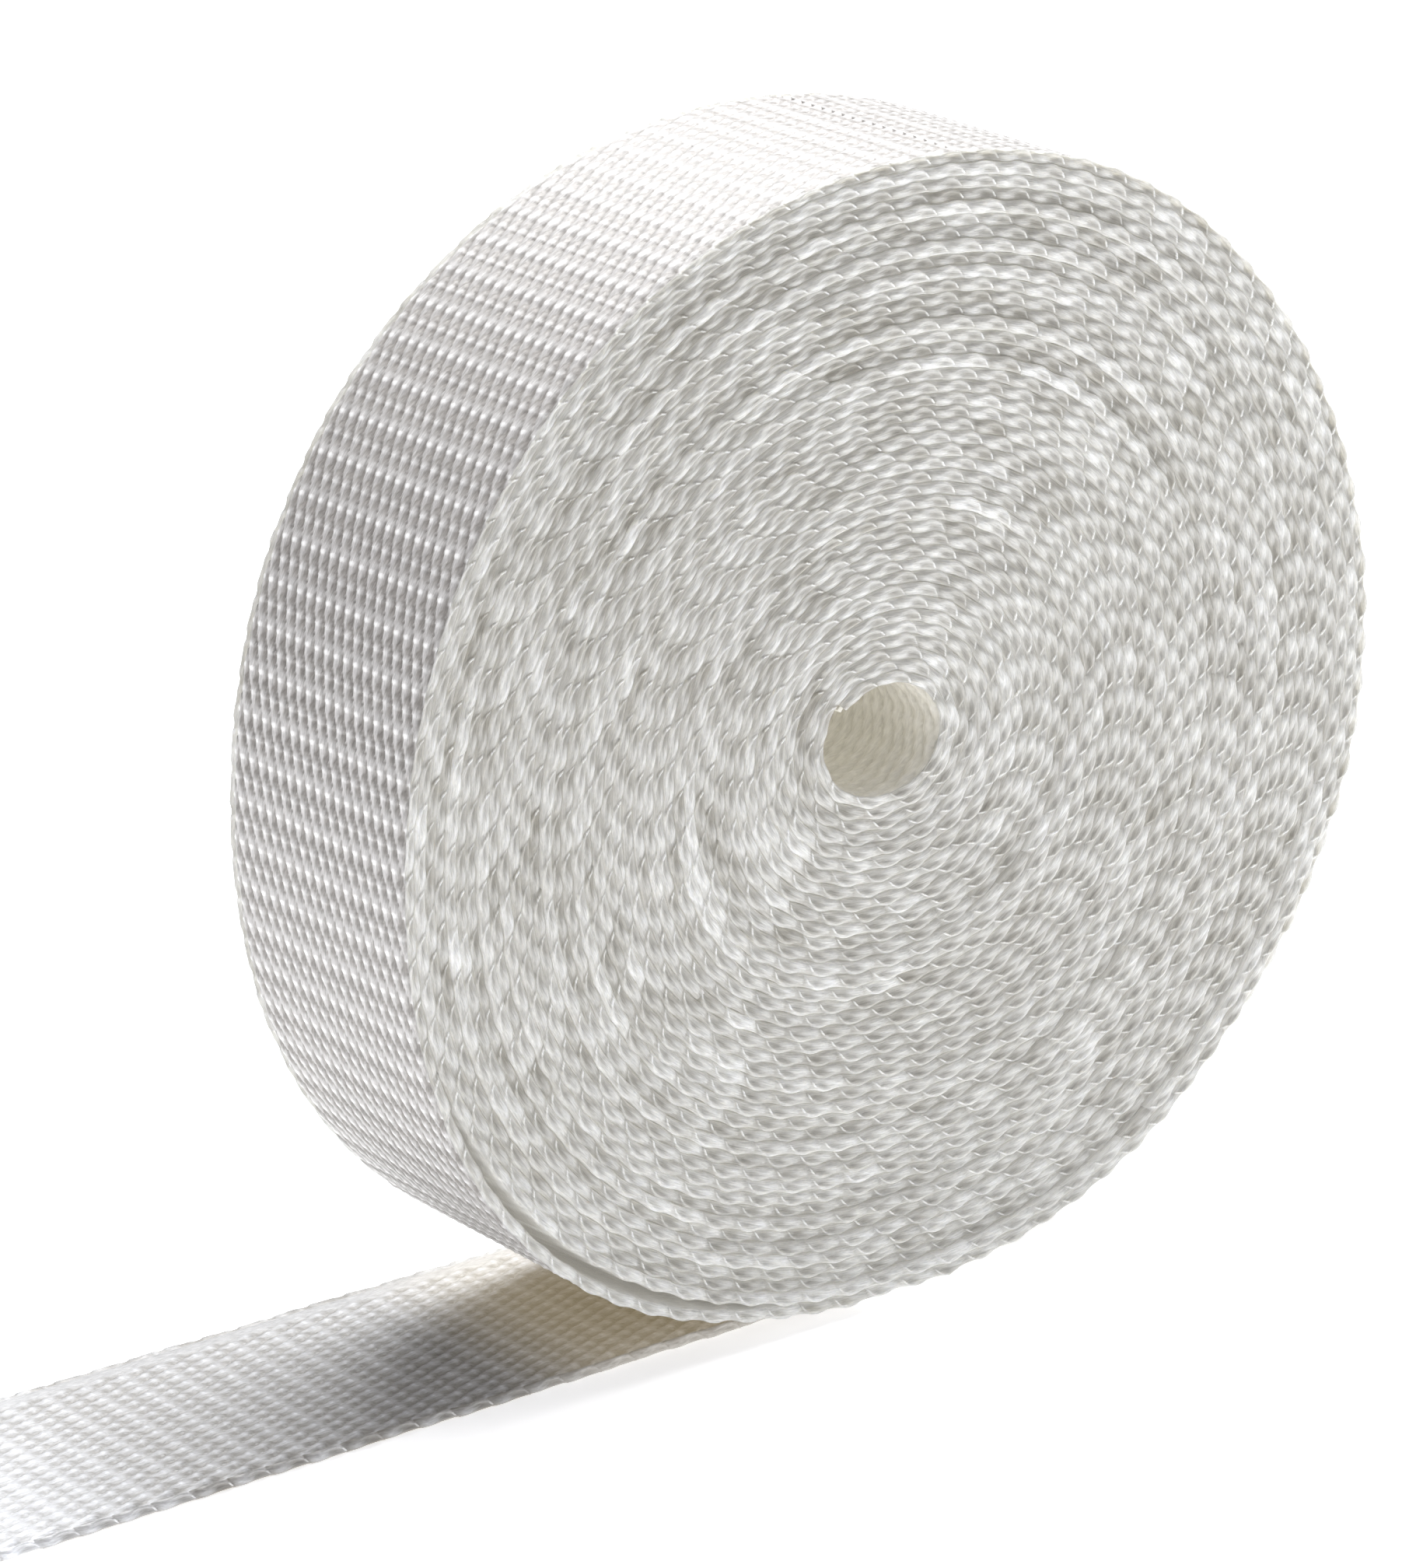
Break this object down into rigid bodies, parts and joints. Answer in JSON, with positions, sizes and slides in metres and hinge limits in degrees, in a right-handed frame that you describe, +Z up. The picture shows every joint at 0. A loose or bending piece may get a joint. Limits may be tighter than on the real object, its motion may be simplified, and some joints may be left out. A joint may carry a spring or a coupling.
{
  "type": "roll of nylon webbing",
  "caption": "Narrow woven nylon webbing strap wound flat into a coreless roll, standing on edge with its loose end laid out.",
  "frame": {"origin": "on the floor, under the middle of the whole part's bounding box", "axes": "+Y along the roll's axis, away from the open face; +Z up; the loose end runs out to -X; metres"},
  "size_m": [0.1536, 0.03, 0.1026],
  "materials": {
    "wound_roll": "woven",
    "loose_end": "woven"
  },
  "bodies": {
    "root": {"wound_roll": "wound_roll", "loose_end": "loose_end"}
  },
  "joints": []
}
